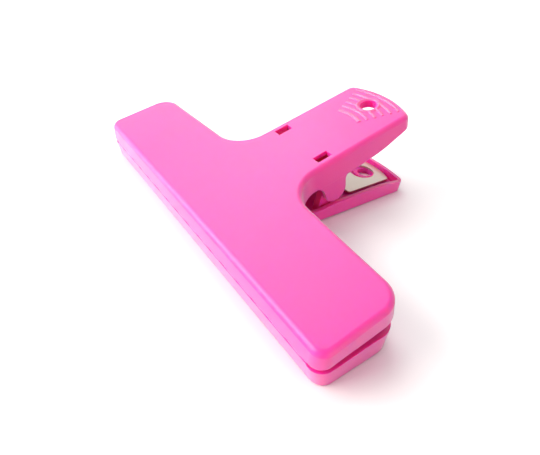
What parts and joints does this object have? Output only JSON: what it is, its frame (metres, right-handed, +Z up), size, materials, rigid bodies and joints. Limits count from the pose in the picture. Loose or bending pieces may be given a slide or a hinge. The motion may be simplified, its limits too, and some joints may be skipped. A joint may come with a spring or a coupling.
{
  "type": "spring clamp",
  "caption": "Wide spring clamp: long toothed jaws on short thumb handles, hinged on pegs and closed by a leaf spring, with hang holes.",
  "frame": {"origin": "under the middle of the closed clamp, on the surface that it lies on", "axes": "+X along the lips, +Y from the lips to the handle tips, +Z up from the lower half to the upper half"},
  "size_m": [0.134, 0.0904, 0.0352],
  "materials": {
    "lower_plastic": "satin moulded plastic",
    "upper_plastic": "satin moulded plastic",
    "spring_steel": "dull plated spring steel"
  },
  "bodies": {
    "lower_half": {"lower_jaw": "lower_plastic", "leaf_spring": "spring_steel"},
    "upper_half": {"upper_jaw": "upper_plastic"}
  },
  "joints": [
    {"name": "jaw_hinge", "type": "hinge", "parent": "lower_half", "child": "upper_half", "pos_m": [0, 0.00583, 0.01175], "axis": [-1, 0, 0], "range_deg": [0, 30], "stiffness_Nm_per_rad": 1, "springref_deg": -20.05, "deforming": ["leaf_spring"]}
  ]
}
